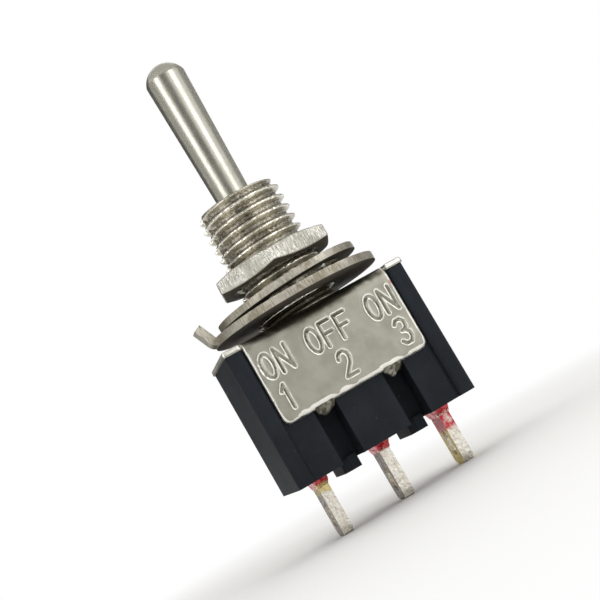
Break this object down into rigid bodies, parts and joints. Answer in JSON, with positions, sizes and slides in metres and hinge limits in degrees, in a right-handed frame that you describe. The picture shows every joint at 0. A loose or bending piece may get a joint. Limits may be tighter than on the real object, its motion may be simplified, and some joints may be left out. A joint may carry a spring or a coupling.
{
  "type": "toggle switch",
  "caption": "Miniature bat-lever toggle switch for panels: threaded bushing, nut, lock washer and tabbed washer, sheet steel frame over a moulded base, and solder lugs sealed in resin.",
  "frame": {"origin": "on the axis of the threaded bushing, at the top face of the frame plate, where the switch seats behind its panel", "axes": "+Z along the lever out of the panel, +X along the row of terminals away from the keyway, +Y towards the back"},
  "size_m": [0.0137, 0.0122, 0.0337],
  "materials": {
    "nickel_plate": "satin nickel plate on brass",
    "nickel_steel": "nickel-plated sheet steel",
    "washer_steel": "nickel-plated steel, satin",
    "moulded_black": "semi-matt moulded thermoset, bluish black",
    "nylon": "natural, smooth",
    "spring_steel": "bright wire",
    "contact_brass": "stamped, bright",
    "contact_silver": "fine silver, satin",
    "terminal_plate": "silver-plated brass",
    "red_resin": "glossy translucent resin"
  },
  "bodies": {
    "housing": {"bushing": "nickel_plate", "frame": "nickel_steel", "lock_washer": "washer_steel", "locating_washer": "washer_steel", "base": "moulded_black", "fixed_contact_left": "contact_silver", "fixed_contact_right": "contact_silver", "terminal_common": "terminal_plate", "terminal_left": "terminal_plate", "terminal_right": "terminal_plate", "terminal_seal_left": "red_resin", "terminal_seal_center": "red_resin", "terminal_seal_right": "red_resin"},
    "lever": {"toggle_lever": "nickel_plate", "plunger_spring": "spring_steel"},
    "plunger": {"plunger": "nylon"},
    "rocker": {"contact_rocker": "contact_brass", "moving_contact_left": "contact_silver", "moving_contact_right": "contact_silver"},
    "nut": {"hex_nut": "nickel_plate"}
  },
  "joints": [
    {"name": "lever_tilt", "type": "hinge", "parent": "housing", "child": "lever", "pos_m": [0, 0, 0.0046], "axis": [0, 1, 0], "range_deg": [-12.5, 12.5]},
    {"name": "rocker_tilt", "type": "hinge", "parent": "housing", "child": "rocker", "pos_m": [0, 0, -0.00662], "axis": [0, 1, 0], "range_deg": [-7.5, 7.5]},
    {"name": "plunger_slide", "type": "slide", "parent": "lever", "child": "plunger", "axis": [0, 0, 1], "range_m": [0, 0.0004], "stiffness_N_per_m": 200, "deforming": ["plunger_spring"]},
    {"name": "nut_travel", "type": "slide", "parent": "housing", "child": "nut", "axis": [0, 0, 1], "range_m": [-0.0006, 0.0044]}
  ],
  "couplings": [
    {"joint": "rocker_tilt", "follows": "lever_tilt", "ratio": -0.6}
  ]
}
